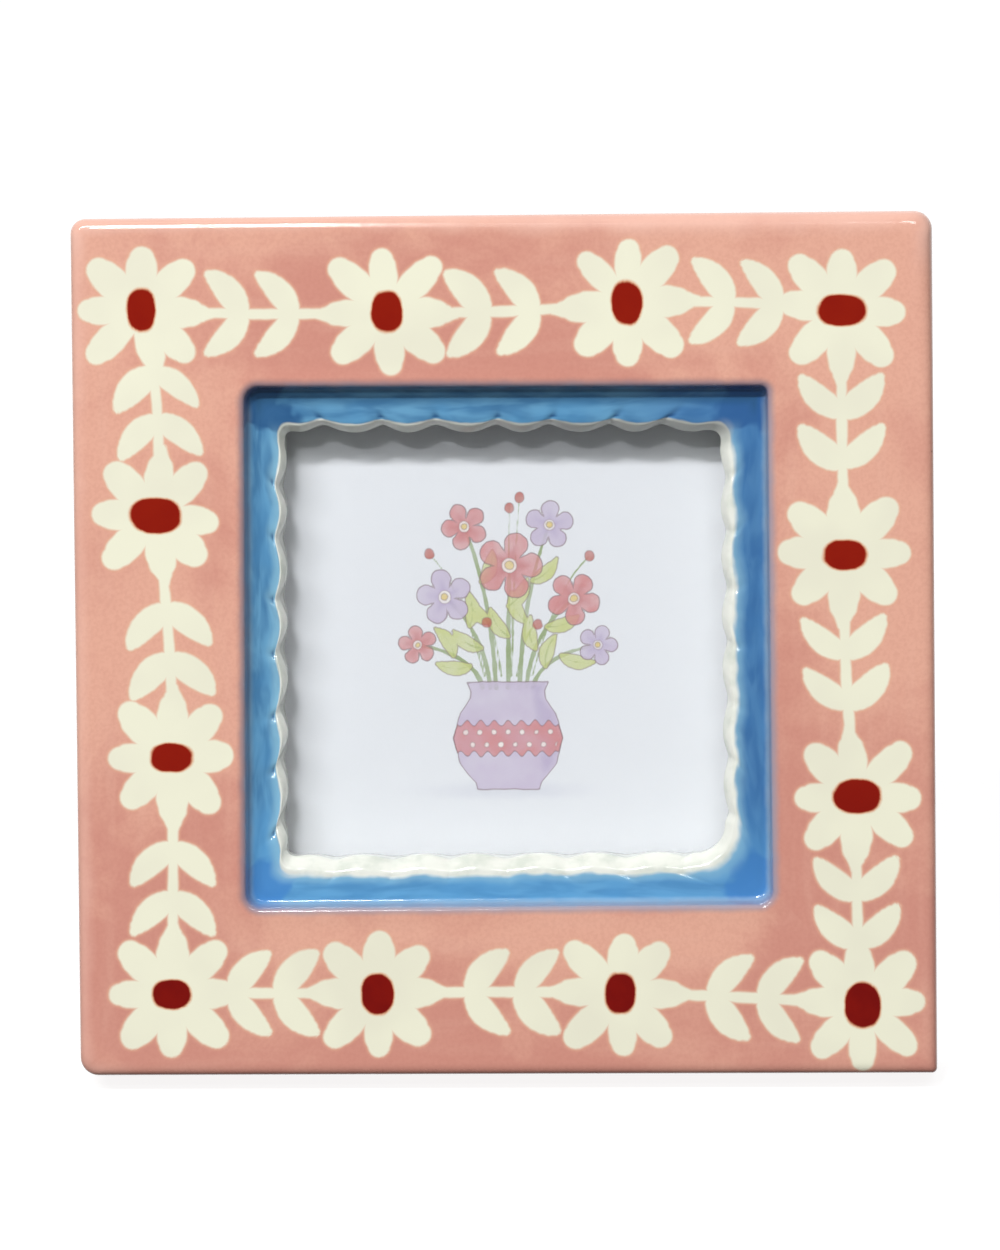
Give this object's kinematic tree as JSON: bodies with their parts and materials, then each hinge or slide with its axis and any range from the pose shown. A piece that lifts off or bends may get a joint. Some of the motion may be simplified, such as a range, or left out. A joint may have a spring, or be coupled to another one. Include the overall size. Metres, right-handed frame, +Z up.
{
  "type": "photo frame",
  "caption": "Square glazed ceramic photo frame with a wide painted border, a stepped recess and a scalloped lip, standing on a hinged easel strut, with a backing board held by turn buttons.",
  "frame": {"origin": "on the table, under the middle of the standing frame's box", "axes": "+X to the viewer's right along the frame's width, +Y away from the viewer, +Z up; the frame leans back 14 degrees on its open strut"},
  "size_m": [0.15, 0.0682, 0.1492],
  "materials": {
    "glaze": "gloss",
    "glass": "polished",
    "card": "matte",
    "flocked_board": "matte",
    "brass": "satin",
    "steel": "satin",
    "nylon": "matte"
  },
  "bodies": {
    "frame": {"ceramic_frame": "glaze", "glazing_pane": "glass", "picture_card": "card", "backing_board": "flocked_board", "button_screw_upper_left": "brass", "button_screw_upper_right": "brass", "button_screw_lower_left": "brass", "button_screw_lower_right": "brass", "screw_plug_upper_left": "nylon", "screw_plug_upper_right": "nylon", "screw_plug_lower_left": "nylon", "screw_plug_lower_right": "nylon", "hinge_board_leaf": "steel", "hinge_pin": "steel", "board_rivet_left": "steel", "board_rivet_right": "steel"},
    "strut": {"easel_strut": "flocked_board", "hinge_strut_leaf": "steel", "strut_rivet_left": "steel", "strut_rivet_right": "steel"},
    "button_upper_left": {"turn_button_upper_left": "brass"},
    "button_upper_right": {"turn_button_upper_right": "brass"},
    "button_lower_left": {"turn_button_lower_left": "brass"},
    "button_lower_right": {"turn_button_lower_right": "brass"}
  },
  "joints": [
    {"name": "strut_fold", "type": "hinge", "parent": "frame", "child": "strut", "pos_m": [0, 0.0088, 0.09322], "axis": [1, 0, 0], "range_deg": [-27, 0]},
    {"name": "button_upper_left_turn", "type": "hinge", "parent": "frame", "child": "button_upper_left", "pos_m": [-0.0506, 0.00764, 0.09557], "axis": [0, 0.9703, -0.2419], "continuous": true},
    {"name": "button_upper_right_turn", "type": "hinge", "parent": "frame", "child": "button_upper_right", "pos_m": [0.0506, 0.00764, 0.09557], "axis": [0, 0.9703, -0.2419], "continuous": true},
    {"name": "button_lower_left_turn", "type": "hinge", "parent": "frame", "child": "button_lower_left", "pos_m": [-0.0506, -0.00397, 0.049], "axis": [0, 0.9703, -0.2419], "continuous": true},
    {"name": "button_lower_right_turn", "type": "hinge", "parent": "frame", "child": "button_lower_right", "pos_m": [0.0506, -0.00397, 0.049], "axis": [0, 0.9703, -0.2419], "continuous": true}
  ]
}
